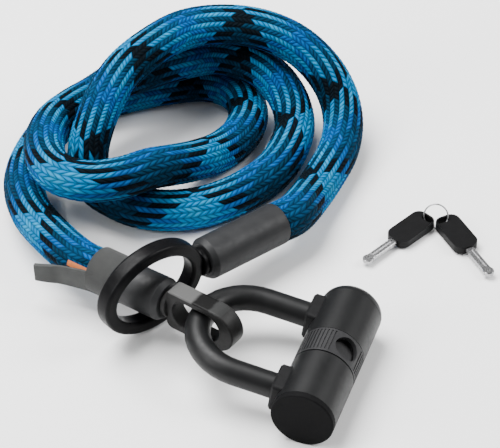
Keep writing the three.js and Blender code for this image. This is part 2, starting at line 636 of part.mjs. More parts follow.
// Each bolt has a full head and a half-round tail with a cross slot for its pin. As drawn the
// bolts are drawn back, so the barrel is free to leave the legs.
const tailReach = TAIL_LENGTH / 2;
const boltHead = bendRadius - legRadius - 2 * GAP;
function boltAlong(side) {
  const headStart = cylinderY + side * (tailReach + GAP);
  const headEnd = side * boltHead;
  const tailEnd = cylinderY - side * tailReach;
  const head = bar('y', boltRadius, Math.min(headStart, headEnd),
    Math.max(headStart, headEnd), [BOLT_SET_BACK, 0, 0], 20);
  const tailLow = Math.min(tailEnd, headStart) - (side > 0 ? 0 : CUT);
  const tailHigh = Math.max(tailEnd, headStart) + (side > 0 ? CUT : 0);
  const tail = bar('y', boltRadius, tailLow, tailHigh, [BOLT_SET_BACK, 0, 0], 20)
    .intersect(block([-shellRadius, tailLow, side > 0 ? GAP : -shellRadius],
      [shellRadius, tailHigh, side > 0 ? shellRadius : -GAP]));
  const slotAt = cylinderY - side * pinSide;
  const slotHalfWidth = pinRadius + GAP;
  const slot = block([-shellRadius, slotAt - slotHalfWidth, -shellRadius],
    [pinEnd + GAP, slotAt + slotHalfWidth, shellRadius]);
  return head.add(tail).subtract(slot);
}
piece(ulock, 'near_bolt', boltAlong(1), zincSteel);
piece(ulock, 'far_bolt', boltAlong(-1), zincSteel);

// ---------- keys ----------
// Local X runs from the slot in the bow to the tip of the blade. The two keys are alike, and
// the second lies on its other face, so its slot is on the other side.
function key(name, place) {
  const frame = frameAt(place);
  const bowStart = -KEY_SLOT_INSET - KEY_SLOT_WIDTH / 2;
  const bowEnd = bowStart + KEY_BOW_LENGTH;
  const middle = KEY_LIFT + KEY_BOW_THICKNESS / 2;
  const outline = lozenge(THREE.Shape, bowStart, bowEnd, KEY_BOW_WIDTH / 2, KEY_BOW_CORNER);
  const slot = plate(lozenge(THREE.Shape, -KEY_SLOT_WIDTH / 2, KEY_SLOT_WIDTH / 2,
    KEY_SLOT_LENGTH / 2, KEY_SLOT_WIDTH / 2 - SINK), null, KEY_BOW_THICKNESS + 2 * CUT, 0, 6)
    .translate([0, place.side * KEY_SLOT_SIDE, 0]);
  const bow = plate(outline, null, KEY_BOW_THICKNESS, KEY_BOW_CHAMFER, 6).subtract(slot);
  const tangHole = block([bowEnd - KEY_TANG - GAP, -KEY_BLADE_WIDTH / 2 - GAP,
    -KEY_BLADE_THICKNESS / 2 - GAP], [bowEnd + CUT, KEY_BLADE_WIDTH / 2 + GAP,
    KEY_BLADE_THICKNESS / 2 + GAP]);
  const lifted = new THREE.Group();
  lifted.position.z = middle;
  frame.add(lifted);
  piece(lifted, `${name}_bow`, bow.subtract(tangHole), bowBlack);

  const tip = bowEnd + KEY_BLADE_LENGTH;
  const headMiddle = tip - KEY_TIP_DIAMETER / 2;
  const bladeTop = KEY_BLADE_THICKNESS / 2;
  const stem = plate(lozenge(THREE.Shape, bowEnd - KEY_TANG, headMiddle, KEY_BLADE_WIDTH / 2,
    KEY_BLADE_CORNER), null, KEY_BLADE_THICKNESS, KEY_BLADE_CHAMFER, 3);
  const disc = new THREE.Shape();
  disc.absarc(headMiddle, 0, KEY_TIP_DIAMETER / 2, 0, 2 * Math.PI, false);
  const head = plate(disc, null, KEY_BLADE_THICKNESS, KEY_BLADE_CHAMFER, 12);
  const stepAt = headMiddle - KEY_TIP_DIAMETER / 2 - KEY_STEP_WIDTH;
  const groove = block([bowEnd + CUT, -KEY_GROOVE_WIDTH / 2, bladeTop - KEY_GROOVE_DEPTH],
    [stepAt, KEY_GROOVE_WIDTH / 2, KEY_BLADE_THICKNESS]);
  const step = block([stepAt, -KEY_BLADE_WIDTH, bladeTop - KEY_STEP_DEPTH],
    [stepAt + KEY_STEP_WIDTH, KEY_BLADE_WIDTH, KEY_BLADE_THICKNESS]);
  const dimple = bar('z', KEY_DIMPLE_DIAMETER / 2, bladeTop - KEY_DIMPLE_DEPTH,
    KEY_BLADE_THICKNESS, [headMiddle, 0, 0], 12);
  piece(lifted, `${name}_blade`,
    stem.add(head).subtract(groove).subtract(step).subtract(dimple), keySteel);
}
key('key_one', KEY_ONE);
key('key_two', KEY_TWO);

const ringFrame = new THREE.Group();
ringFrame.position.set(...RING_AT);
ringFrame.rotation.set(radians(RING_LEAN), 0, radians(RING_TURN), 'ZYX');
lock.add(ringFrame);
piece(ringFrame, 'key_ring',
  new THREE.TorusGeometry(RING_DIAMETER / 2, RING_WIRE / 2, 8, 32), keySteel);

export default lock;
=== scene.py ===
import math
import bpy
import bmesh
from mathutils import Matrix, Vector


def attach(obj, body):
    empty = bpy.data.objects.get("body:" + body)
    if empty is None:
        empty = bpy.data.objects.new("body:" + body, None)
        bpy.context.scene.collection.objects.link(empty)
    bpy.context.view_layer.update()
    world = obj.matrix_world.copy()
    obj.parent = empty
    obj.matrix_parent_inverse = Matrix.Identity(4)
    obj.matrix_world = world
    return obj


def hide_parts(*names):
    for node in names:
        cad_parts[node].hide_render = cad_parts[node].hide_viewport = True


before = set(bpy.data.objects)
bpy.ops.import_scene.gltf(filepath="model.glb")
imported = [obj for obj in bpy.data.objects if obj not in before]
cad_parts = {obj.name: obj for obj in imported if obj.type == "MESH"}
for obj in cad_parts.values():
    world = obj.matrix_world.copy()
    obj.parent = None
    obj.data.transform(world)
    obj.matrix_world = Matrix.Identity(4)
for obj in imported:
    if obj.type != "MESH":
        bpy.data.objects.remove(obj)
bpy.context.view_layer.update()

# ---------------------------------------------------------------- camera
# The photograph looks down on the lock at 41 degrees from 1.5 m away.
MIDDLE = Vector((0.00186, 0.02613, 0.0))      # where the lock's own origin lies in the row frame
EYE_DISTANCE = 1.5
EYE_RISE = math.radians(41.0)

eye = bpy.data.cameras.new("eye")
eye.lens = 191.15
eye.sensor_width = 36.0
eye_holder = bpy.data.objects.new("eye", eye)
eye_holder.location = MIDDLE + Vector((
    0.0, -EYE_DISTANCE * math.cos(EYE_RISE), EYE_DISTANCE * math.sin(EYE_RISE)))
eye_holder.rotation_euler = (math.pi / 2 - EYE_RISE, 0.0, 0.0)
bpy.context.collection.objects.link(eye_holder)
bpy.context.scene.camera = eye_holder


# ---------------------------------------------------------------- rope
# The rope is 1.2 m of fibre core in a plaited polyester cover, 24 mm across. The cover is braided
# from 24 strands each way, so it shows 24 rows of stitches that lean left and right in turn.
ROPE_RADIUS = 0.0116
BRAID_ROWS = 24
ROPE_COLUMNS = 3 * BRAID_ROWS     # three columns of faces to a row of stitches
ROPE_RINGS = 1300
ROUTE_STEPS = 40                  # to each stretch of the route
STITCH_RISE = 0.00042             # how far a stitch stands above the furrows beside it
STITCH_LEVEL = 0.4                # share of that rise which lies at the rope's radius
STITCH_SWELL = 0.38               # share by which a row swells and thins along its stitches
MERGE_WITHIN = 1e-6

# The route of the rope's middle, in millimetres in the lock's own frame.
ROPE_ROUTE = [
    (15.07, -25.28, 22.71), (23.9, -17.7, 21.9), (33.5, 5.5, 15), (43, 28, 13), (51, 49, 14),
    (54, 68, 19), (51, 82, 28), (42, 92, 40), (27, 99, 52), (7, 103, 60), (-16, 105, 62),
    (-38, 100, 62), (-56, 84, 62), (-72, 64, 60), (-82, 46, 54), (-88, 32, 45), (-91, 23, 35),
    (-91, 18, 26), (-86, 12, 18), (-77, 7, 14), (-64, 1, 12), (-47, -2, 12), (-30, 0, 12),
    (-16, 6, 12), (-2, 16, 12), (13, 32, 12), (22, 51, 13), (26, 71, 16), (22, 85, 24),
    (11, 97, 32), (-6, 106, 36), (-23, 110, 36), (-43, 104, 36), (-61, 95, 36), (-77, 85, 36),
    (-90, 71, 36), (-102, 58, 37), (-112, 41, 39), (-115.5, 22, 40), (-112, 3, 42),
    (-103, -10, 44), (-88, -14, 43.5), (-71, -8, 41), (-56, 3, 38), (-44, 16, 30),
    (-31, 31, 21), (-17, 49, 13), (-6, 64, 12), (-1, 82, 12), (-4, 99, 12), (-13, 110, 12),
    (-28, 115, 12), (-48, 112, 12), (-71, 105, 12), (-93, 94, 12), (-112, 75, 12),
    (-124, 49, 12), (-128, 20, 14), (-122, -9, 17), (-107, -36, 20), (-91, -56.8, 22.4),
    (-81.62, -63.77, 23.03),
]
# Where the plait's colour pattern stands along the rope: millimetres, and repeats of the pattern.
PATTERN_MARKS = [
    (0, -0.6), (46.5, 0), (88, 0.5), (124.5, 1), (162, 1.5), (195, 2), (231, 2.5), (270, 3),
    (303, 3.5), (327, 4), (411.5, 5), (454, 5.5), (506, 6), (537, 6.5), (561, 7), (590, 7.5),
    (625, 8), (690, 9), (716, 9.5), (757, 10), (807, 10.5), (857, 11), (887, 11.5), (912, 12),
    (940, 12.5), (965, 13), (1030, 14), (1088, 15), (1122, 15.5), (1162, 16), (1215, 16.7),
]


def smooth_line(points, steps):
    """Points on the centripetal curve through the route, steps of them to each stretch."""
    ends = [2 * points[0] - points[1], *points, 2 * points[-1] - points[-2]]
    line = []
    for a, b, c, d in zip(ends, ends[1:], ends[2:], ends[3:]):
        t1 = (b - a).length ** 0.5
        t2 = t1 + (c - b).length ** 0.5
        t3 = t2 + (d - c).length ** 0.5
        for i in range(steps):
            t = t1 + (t2 - t1) * i / steps
            p = a.lerp(b, t / t1)
            q = b.lerp(c, (t - t1) / (t2 - t1))
            r = c.lerp(d, (t - t2) / (t3 - t2))
            line.append(p.lerp(q, t / t2).lerp(q.lerp(r, (t - t1) / (t3 - t1)), (t - t1) / (t2 - t1)))
    line.append(points[-1])
    return line


def along(line, count):
    """That many points an equal way apart on a line, and its length."""
    run = [0.0]
    for a, b in zip(line, line[1:]):
        run.append(run[-1] + (b - a).length)
    out, k = [], 0
    for i in range(count):
        want = run[-1] * i / (count - 1)
        while k < len(line) - 2 and run[k + 1] < want:
            k += 1
        out.append(line[k].lerp(line[k + 1], (want - run[k]) / (run[k + 1] - run[k])))
    return out, run[-1]


def pattern_at(mm):
    """How many repeats of the colour pattern have gone by at that many millimetres of rope."""
    for (a, low), (b, high) in zip(PATTERN_MARKS, PATTERN_MARKS[1:]):
        if mm <= b:
            return low + (high - low) * (mm - a) / (b - a)
    return PATTERN_MARKS[-1][1]


rope_line, rope_length = along(
    smooth_line([Vector(p) / 1000 + MIDDLE for p in ROPE_ROUTE], ROUTE_STEPS), ROPE_RINGS + 1)


def stitch_height(row, stitch):
    """How high the plait stands, from 0 in a furrow to 1 on a stitch."""
    lean = 1.0 if int(row) % 2 == 0 else -1.0
    across = row - math.floor(row)
    phase = stitch + lean * (across - 0.5)
    swell = 1 - STITCH_SWELL + STITCH_SWELL * math.cos(2 * math.pi * phase)
    return math.sin(math.pi * across) * swell


bm = bmesh.new()
bmesh.ops.create_grid(bm, x_segments=ROPE_RINGS, y_segments=ROPE_COLUMNS, size=1.0)
plait = bm.loops.layers.uv.new("plait")
spot = {}
for v in bm.verts:
    spot[v.index] = (round((v.co.x + 1) / 2 * ROPE_RINGS), round((v.co.y + 1) / 2 * ROPE_COLUMNS))
stitches = [BRAID_ROWS * pattern_at(1000 * rope_length * i / ROPE_RINGS)
            for i in range(ROPE_RINGS + 1)]
for face in bm.faces:
    for loop in face.loops:
        ring, column = spot[loop.vert.index]
        loop[plait].uv = (column * BRAID_ROWS / ROPE_COLUMNS, stitches[ring])
sides = []
for i, p in enumerate(rope_line):
    ahead = (rope_line[min(i + 1, ROPE_RINGS)] - rope_line[max(i - 1, 0)]).normalized()
    outward = ahead.cross(Vector((0, 0, 1))).normalized()
    sides.append((outward.cross(ahead), outward))
for v in bm.verts:
    ring, column = spot[v.index]
    turn = 2 * math.pi * column / ROPE_COLUMNS
    top, outward = sides[ring]
    inside_row = column * BRAID_ROWS / ROPE_COLUMNS + 1e-6      # not on its very edge
    rise = STITCH_RISE * (stitch_height(inside_row, stitches[ring]) - STITCH_LEVEL)
    v.co = rope_line[ring] + (top * math.cos(turn) + outward * math.sin(turn)) * (
        ROPE_RADIUS + rise)
bmesh.ops.remove_doubles(bm, verts=bm.verts, dist=MERGE_WITHIN)
bmesh.ops.holes_fill(bm, edges=[e for e in bm.edges if e.is_boundary])
bmesh.ops.recalc_face_normals(bm, faces=bm.faces)
for face in bm.faces:
    face.smooth = True
mesh = bpy.data.meshes.new("braided_rope")
bm.to_mesh(mesh)
bm.free()
rope = bpy.data.objects.new("braided_rope", mesh)
bpy.context.collection.objects.link(rope)


class Finish:
    """A material's nodes, written as sums of sockets."""

    def __init__(self, name, roughness, metallic=0.0, **sockets):
        self.material = bpy.data.materials.new(name)
        self.material.use_nodes = True
        self.tree = self.material.node_tree
        self.shader = self.tree.nodes["Principled BSDF"]
        self.shader.inputs["Roughness"].default_value = roughness
        self.shader.inputs["Metallic"].default_value = metallic
        for socket, value in sockets.items():
            self.shader.inputs[socket.replace("_", " ")].default_value = value

    def feed(self, socket, value):
        if isinstance(value, bpy.types.NodeSocket):
            self.tree.links.new(value, socket)
        else:
            socket.default_value = value

    def node(self, kind, out, inputs=(), **settings):
        made = self.tree.nodes.new(kind)
        for key, value in settings.items():
            setattr(made, key, value)
        for key, value in dict(inputs).items():
            self.feed(made.inputs[key], value)
        return made.outputs[out]

    def sum(self, operation, *values):
        return self.node("ShaderNodeMath", 0, enumerate(values), operation=operation)

    def ramp(self, value, stops, interpolation="LINEAR"):
        made = self.tree.nodes.new("ShaderNodeValToRGB")
        made.color_ramp.interpolation = interpolation
        self.feed(made.inputs[0], value)
        while len(made.color_ramp.elements) < len(stops):
            made.color_ramp.elements.new(0.5)
        for element, (place, colour) in zip(made.color_ramp.elements, stops):
            element.position = place
            element.color = (*colour, 1.0)
        return made.outputs[0]

    def mix(self, blend, share, a, b):
        made = self.tree.nodes.new("ShaderNodeMix")
        made.data_type = "RGBA"
        made.blend_type = blend
        self.feed(made.inputs[0], share)
        self.feed(made.inputs[6], a)
        self.feed(made.inputs[7], b)
        return made.outputs[2]

    def place(self, scale=1.0):
        """Object coordinates, in millimetres over scale."""
        coordinates = self.node("ShaderNodeTexCoord", "Object")
        return self.node("ShaderNodeMapping", 0, {0: coordinates, 3: (1000.0 / scale,) * 3})

    def axes(self, scale=1.0):
        """The X, Y and Z of place()."""
        apart = self.tree.nodes.new("ShaderNodeSeparateXYZ")
        self.feed(apart.inputs[0], self.place(scale))
        return apart.outputs[:]

    def noise(self, scale, detail=2.0, roughness=0.5):
        """Noise whose grain is about scale millimetres."""
        return self.node("ShaderNodeTexNoise", 0, {
            "Vector": self.place(scale), "Scale": 1.0, "Detail": detail,
            "Roughness": roughness})

    def colour(self, value):
        self.feed(self.shader.inputs["Base Color"], value)

    def roughness(self, value):
        self.feed(self.shader.inputs["Roughness"], value)

    def bump(self, height, distance, strength=1.0):
        """Bump from a height, distance in millimetres; a second call lies over the first."""
        under = self.shader.inputs["Normal"].links
        inputs = {"Height": height, "Strength": strength, "Distance": distance / 1000}
        if under:
            inputs["Normal"] = under[0].from_socket
        self.feed(self.shader.inputs["Normal"], self.node("ShaderNodeBump", 0, inputs))


cover = Finish("plaited_cover", 0.8, Specular_IOR_Level=0.05)
plait_uv = cover.node("ShaderNodeUVMap", 0, uv_map="plait")
split = cover.tree.nodes.new("ShaderNodeSeparateXYZ")
cover.feed(split.inputs[0], plait_uv)
row = cover.sum("FLOOR", split.outputs[0])
across = cover.sum("FRACT", split.outputs[0])
odd = cover.sum("MODULO", row, 2.0)
lean = cover.sum("MULTIPLY_ADD", odd, -2.0, 1.0)
phase = cover.sum("MULTIPLY_ADD", lean, cover.sum("SUBTRACT", across, 0.5), split.outputs[1])
stitch = cover.sum("ROUND", phase)
offset = cover.sum("SUBTRACT", phase, stitch)
strand = cover.sum("MULTIPLY_ADD", lean, stitch, row)
strand = cover.sum("FLOORED_MODULO", cover.sum("ADD", strand, 0.5), BRAID_ROWS)
CYAN, PALE, BLUE = (0.001, 0.145, 0.34), (0.006, 0.19, 0.38), (0.001, 0.072, 0.25)
NAVY, DEEP, BLACK = (0.001, 0.040, 0.100), (0.001, 0.022, 0.048), (0.001, 0.004, 0.007)
# the first strand of each colour; a strand's own number lies a hair inside its colour
STRANDS = [(0, CYAN), (3, PALE), (5, CYAN), (8, BLUE), (12, NAVY), (16, DEEP), (20, BLACK)]
yarns = cover.ramp(cover.sum("DIVIDE", strand, BRAID_ROWS), [
    (max(0.0, first - 0.01) / BRAID_ROWS, colour) for first, colour in STRANDS], "CONSTANT")
stitch_name = cover.node("ShaderNodeCombineXYZ", 0, {0: row, 1: stitch})
chance = cover.node("ShaderNodeTexWhiteNoise", 0, {"Vector": stitch_name})
# a stitch is round across, and narrows to its ends under the rows beside it
FULLNESS, BLUNTNESS = 2.6, 0.6    # powers: a higher fullness is flatter, a lower bluntness blunter
FILAMENTS = 5                     # to a stitch
round_across = cover.sum("SUBTRACT", 1.0, cover.sum(
    "POWER", cover.sum("ABSOLUTE", cover.sum("MULTIPLY", offset, 2.0)), FULLNESS))
ends = cover.sum("SINE", cover.sum("MULTIPLY", across, math.pi))
height = cover.sum("MULTIPLY", round_across, cover.sum("POWER", ends, BLUNTNESS))
filaments = cover.sum("SINE", cover.sum("MULTIPLY", offset, 2 * math.pi * FILAMENTS))
# painted shade makes furrows darker than stitches, and stitches and filaments differ a little in
# their own tone
shade = cover.sum("MULTIPLY_ADD", height, 0.75, 0.30)
shade = cover.sum("MULTIPLY", shade, cover.sum("MULTIPLY_ADD", chance, 0.30, 0.86))
shade = cover.sum("MULTIPLY", shade, cover.sum("MULTIPLY_ADD", filaments, 0.07, 1.0))
grey = cover.node("ShaderNodeCombineXYZ", 0, {0: shade, 1: shade, 2: shade})
cover.colour(cover.mix("MULTIPLY", 1.0, yarns, grey))
cover.bump(height, 0.55, 0.9)
cover.bump(filaments, 0.05, 0.6)
mesh.materials.append(cover.material)
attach(rope, "rope_set")
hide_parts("rope")


# ---------------------------------------------------------------- crimped ends
# Each rope end is crimped in a steel ferrule under a heat-shrunk sleeve of matte dark rubber. The
# sleeve has a straight mouth, and a tapered nose where the eye's shank comes out.
SLEEVE_LENGTHS = {"large": 54.0, "small": 47.0}
SLEEVE_RADIUS = 12.0
SLEEVE_BORE = 9.6
SLEEVE_LIP = 0.3                  # rounding of the mouth's and the throat's inner edges
MOUTH_ROUNDING = 0.8
SHOULDER_ROUNDING = 1.2
NOSE_LENGTH = 3.0
NOSE_RADIUS = 10.0
NOSE_ROUNDING = 0.9
NOSE_WALL = 2.7
THROAT_RADIUS = 5.4


def placed(at, heading, rise=0.0):
    """A piece's own frame: X along its heading, sizes in millimetres."""
    return (Matrix.Translation(Vector(at) / 1000 + MIDDLE)
            @ Matrix.Rotation(math.radians(heading), 4, "Z")
            @ Matrix.Rotation(math.radians(-rise), 4, "Y")
            @ Matrix.Scale(0.001, 4))


LARGE_END = placed((-26, -60.6, 26.5), -139.3, 4)
SMALL_END = placed((-43.6, -91.8, 25.5), -36.4, 3)


def rounded(corners, closed=False, steps=5):
    """The outline through (x, y, radius) corners, each rounded by its radius."""
    points = []
    for i, (x, y, radius) in enumerate(corners):
        corner = Vector((x, y))
        if radius == 0 or (not closed and i in (0, len(corners) - 1)):
            points.append(corner)
            continue
        back = (Vector(corners[i - 1][:2]) - corner).normalized()
        on = (Vector(corners[(i + 1) % len(corners)][:2]) - corner).normalized()
        half = back.angle(on) / 2
        centre = corner + (back + on).normalized() * radius / math.sin(half)
        start = corner + back * radius / math.tan(half) - centre
        end = corner + on * radius / math.tan(half) - centre
        points += [centre + start.slerp(end, k / steps).normalized() * radius
                   for k in range(steps + 1)]
    return points


def turned(bm, profile, steps=72):
    """A closed profile of (x, radius) points turned about the X axis."""
    verts = [bm.verts.new((x, radius, 0.0)) for x, radius in profile]
    edges = [bm.edges.new((a, b)) for a, b in zip(verts, verts[1:] + verts[:1])]
    bmesh.ops.spin(bm, geom=verts + edges, cent=(0, 0, 0), axis=(1, 0, 0), angle=2 * math.pi,
                   steps=steps, use_merge=True)


CREASE = math.radians(40)         # faces that meet at less than this shade as one


def shade_smooth(mesh):
    """Flat faces stay flat, narrow rounded edges turn smoothly, and sharper corners stay sharp."""
    faces_at = [[] for _ in mesh.vertices]
    for face in mesh.polygons:
        face.use_smooth = True
        for v in face.vertices:
            faces_at[v].append((face.normal.copy(), face.area))
    limit = math.cos(CREASE)
    normals = []
    for face in mesh.polygons:
        for v in face.vertices:
            near = [n * area for n, area in faces_at[v] if n.dot(face.normal) > limit]
            normals.append(sum(near, Vector()).normalized())
    mesh.normals_split_custom_set(normals)


def piece(name, bm, frame_of, finish, body, slot, *nodes):
    """Turns a bmesh into a piece of the lock that stands for some of the solids."""
    bmesh.ops.transform(bm, matrix=frame_of, verts=bm.verts)
    bmesh.ops.remove_doubles(bm, verts=bm.verts, dist=MERGE_WITHIN)
    bmesh.ops.recalc_face_normals(bm, faces=bm.faces)
    made = bpy.data.meshes.new(name)
    bm.to_mesh(made)
    bm.free()
    shade_smooth(made)
    made.materials.append(finish.material)
    holder = bpy.data.objects.new(name, made)
    bpy.context.collection.objects.link(holder)
    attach(holder, body)
    if nodes:
        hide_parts(*nodes)


rubber = Finish("sleeve_rubber", 0.5, Specular_IOR_Level=0.22)
rubber.colour(rubber.ramp(rubber.noise(9, 4), [
    (0.3, (0.011, 0.0115, 0.0125)), (0.7, (0.017, 0.0175, 0.0185))]))
rubber.roughness(rubber.ramp(rubber.noise(3, 3), [(0.3, (0.44,) * 3), (0.7, (0.56,) * 3)]))
rubber.bump(rubber.noise(0.5, 3), 0.05, 0.35)
for side, end in (("large", LARGE_END), ("small", SMALL_END)):
    bm = bmesh.new()
    turned(bm, rounded([
        (-SLEEVE_LENGTHS[side], SLEEVE_BORE, SLEEVE_LIP),
        (-SLEEVE_LENGTHS[side], SLEEVE_RADIUS, MOUTH_ROUNDING),
        (-NOSE_LENGTH, SLEEVE_RADIUS, SHOULDER_ROUNDING), (0, NOSE_RADIUS, NOSE_ROUNDING),
        (0, THROAT_RADIUS, SLEEVE_LIP), (-NOSE_WALL, THROAT_RADIUS, 0),
        (-NOSE_WALL, SLEEVE_BORE, 0)], closed=True))
    piece(f"{side}_end_rubber_sleeve", bm, end, rubber, "rope_set", "sleeve_grey",
          f"{side}_end_sleeve")


def dress(finish, *nodes):
    """Gives solids that keep their own shape a finish."""
    for node in nodes:
        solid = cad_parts[node]
        solid.data.materials.clear()
        solid.data.materials.append(finish.material)


steel = Finish("zinc_steel", 0.36, 1.0)
steel.colour(steel.ramp(steel.noise(2.5, 4), [
    (0.3, (0.40, 0.41, 0.43)), (0.7, (0.55, 0.56, 0.57))]))
steel.roughness(steel.ramp(steel.noise(1.2, 3), [(0.3, (0.28,) * 3), (0.7, (0.46,) * 3)]))
dress(steel, "large_end_ferrule", "small_end_ferrule")

fibre = Finish("rope_fibre", 0.9)
fibre.colour(fibre.ramp(fibre.noise(0.7, 5), [
    (0.3, (0.30, 0.27, 0.21)), (0.7, (0.56, 0.52, 0.44))]))
fibre.bump(fibre.noise(0.4, 4), 0.2)
dress(fibre, "large_end_core", "small_end_core")


# ---------------------------------------------------------------- eyes
# Both eyes are forged steel, each on a shank that is crimped into its ferrule. The large one is a
# black oval ring. The small one is a greyer slotted loop that goes through it and holds the shackle.
NECK = (0.3, 3.3, 8.0)            # from, to and radius of the neck that sits on a sleeve's nose
NECK_ROUNDING = (0.4, 0.8)        # of its two rims
SHANK = (-16.0, 5.0)              # how deep the shank goes into the ferrule, and its radius
SHANK_ROUNDING = 0.6
LARGE_EYE_MIDDLE = 35.8
LARGE_EYE_REACH = (33.5, 26.5)    # half its length and half its width
LARGE_EYE_BAR = 7.5
LARGE_EYE_THICKNESS = 10.0
LARGE_EYE_EDGE = 2.0
EYE_POINTS = 96

forged = Finish("forged_black", 0.34, Specular_IOR_Level=0.07)
forged.colour(forged.ramp(forged.noise(5, 5), [
    (0.3, (0.002, 0.002, 0.0024)), (0.75, (0.0045, 0.0045, 0.005))]))
forged.roughness(forged.ramp(forged.noise(1.5, 4), [(0.3, (0.27,) * 3), (0.75, (0.45,) * 3)]))
forged.bump(forged.noise(1.1, 4), 0.06, 0.5)


SHARP = math.radians(60)          # a slab's edges are sharper than this


def slab(bm, outline, hole, thickness, edge, edge_steps):
    """A flat plate about Z = 0 with rounded edges, and with a hole of as many points."""
    rims = []
    for points in (outline, hole):
        verts = [bm.verts.new((x, y, -thickness / 2)) for x, y in points]
        rims += [bm.edges.new((a, b)) for a, b in zip(verts, verts[1:] + verts[:1])]
    faces = bmesh.ops.bridge_loops(bm, edges=rims)["faces"]
    lifted = bmesh.ops.extrude_face_region(bm, geom=faces)["geom"]
    bmesh.ops.translate(bm, vec=(0, 0, thickness),
                        verts=[g for g in lifted if isinstance(g, bmesh.types.BMVert)])
    bmesh.ops.recalc_face_normals(bm, faces=bm.faces)
    sharp = [e for e in bm.edges if e.is_manifold and e.calc_face_angle() > SHARP]
    bmesh.ops.bevel(bm, geom=sharp, offset=edge, segments=edge_steps, profile=0.5,
                    affect="EDGES", material=-1, clamp_overlap=True)


def oval(middle, half_length, half_width):
    spokes = [2 * math.pi * i / EYE_POINTS for i in range(EYE_POINTS)]
    return [(middle + half_length * math.cos(a), half_width * math.sin(a)) for a in spokes]


def add_shank(bm):
    low, high, radius = NECK
    depth, thin = SHANK
    turned(bm, rounded([(low, 0, 0), (low, radius, NECK_ROUNDING[0]),
                        (high, radius, NECK_ROUNDING[1]), (high, 0, 0)]))
    turned(bm, rounded([(depth, 0, 0), (depth, thin, SHANK_ROUNDING), (high, thin, 0),
                        (high, 0, 0)]))


UPRIGHT = Matrix.Rotation(math.radians(90.0), 4, "X")
bm = bmesh.new()
slab(bm, oval(LARGE_EYE_MIDDLE, *LARGE_EYE_REACH),
     oval(LARGE_EYE_MIDDLE, *(reach - LARGE_EYE_BAR for reach in LARGE_EYE_REACH)),
     LARGE_EYE_THICKNESS, LARGE_EYE_EDGE, 4)
add_shank(bm)
piece("large_forged_eye", bm, LARGE_END @ UPRIGHT, forged, "rope_set", "forged_black", "large_eye")

SMALL_EYE_START = 2.3             # where the loop begins on its neck
SMALL_EYE_LENGTH = 46.5
SMALL_EYE_HALF = 12.8
SMALL_EYE_SLOT = (6.5, 37.5, 8.6)     # from, to and half width of the slot
SMALL_EYE_SHOULDER = 4.0          # radius of its corners at the neck
SMALL_EYE_THICKNESS = 10.5
SMALL_EYE_EDGE = 0.9
SMALL_EYE_DROOP = 2.0             # degrees that the loop hangs below its shank

# the top of its rim is bright by the neck, black in the middle and grey by the tip: a painted
# highlight, a painted shadow and reflection of the shackle bar, and a dimmer painted highlight
phosphated = Finish("phosphated_steel", 0.42, Specular_IOR_Level=0.1)
from_nose = phosphated.node("ShaderNodeVectorMath", 0, {
    0: phosphated.place(), 1: SMALL_END.translation * 1000}, operation="SUBTRACT")
length_way, up_way = (
    (SMALL_END.to_3x3() @ Vector(axis)).normalized() for axis in ((1, 0, 0), (0, 0, 1)))
run, rise = (phosphated.node("ShaderNodeVectorMath", 1, {0: from_nose, 1: way},
                             operation="DOT_PRODUCT") for way in (length_way, up_way))
rim = phosphated.sum("GREATER_THAN", phosphated.sum("MULTIPLY_ADD", run, math.sin(
    math.radians(SMALL_EYE_DROOP)), rise), SMALL_EYE_HALF - SMALL_EYE_EDGE)
# painted highlight, painted shadow and dimmer painted highlight along the rim's top, their edges made
# ragged by noise
painted_rim_light = phosphated.ramp(phosphated.sum("DIVIDE", phosphated.sum(
    "MULTIPLY_ADD", phosphated.noise(3, 4), 2.0, run), SMALL_EYE_LENGTH), [
        (0.0, (0.072, 0.072, 0.071)), (0.44, (0.072, 0.072, 0.071)), (0.48, (0.002,) * 3),
        (0.68, (0.002,) * 3), (0.71, (0.022, 0.0225, 0.0225)), (0.93, (0.020, 0.0205, 0.0205)),
        (0.96, (0.002,) * 3)])
coarse = phosphated.ramp(phosphated.noise(5, 5), [(0.3, (0.010,) * 3), (0.75, (0.020,) * 3)])
phosphated.colour(phosphated.mix("MIX", rim, coarse, painted_rim_light))
phosphated.bump(phosphated.noise(0.9, 4), 0.08, 0.6)


def evenly(points, count):
    """That many points an equal way apart round a closed outline that starts at its far end."""
    ring = [Vector((*p, 0.0)) for p in (*points, points[0])]
    return [(p.x, p.y) for p in along(ring, count + 1)[0][:-1]]


NEARLY = 0.05                     # a full round end stops short of its width by this


def loop_outline(start, tip, half, shoulder):
    """The loop's round end, with the outline starting in the middle of it, and its square end."""
    end = rounded([(tip, 0, 0), (tip, half, half - NEARLY), (start, half, shoulder),
                   (start, -half, shoulder), (tip, -half, half - NEARLY)], closed=True, steps=14)
    return evenly(end, EYE_POINTS)


bm = bmesh.new()
slab(bm, loop_outline(SMALL_EYE_START, SMALL_EYE_LENGTH, SMALL_EYE_HALF, SMALL_EYE_SHOULDER),
     loop_outline(*SMALL_EYE_SLOT, SMALL_EYE_SLOT[2] - NEARLY), SMALL_EYE_THICKNESS,
     SMALL_EYE_EDGE, 3)
bmesh.ops.rotate(bm, cent=(SMALL_EYE_START, 0, 0), verts=bm.verts,
                 matrix=Matrix.Rotation(math.radians(-SMALL_EYE_DROOP), 3, "Z"))
add_shank(bm)
piece("small_forged_eye", bm, SMALL_END @ UPRIGHT, phosphated, "rope_set", "forged_black",
      "small_eye")


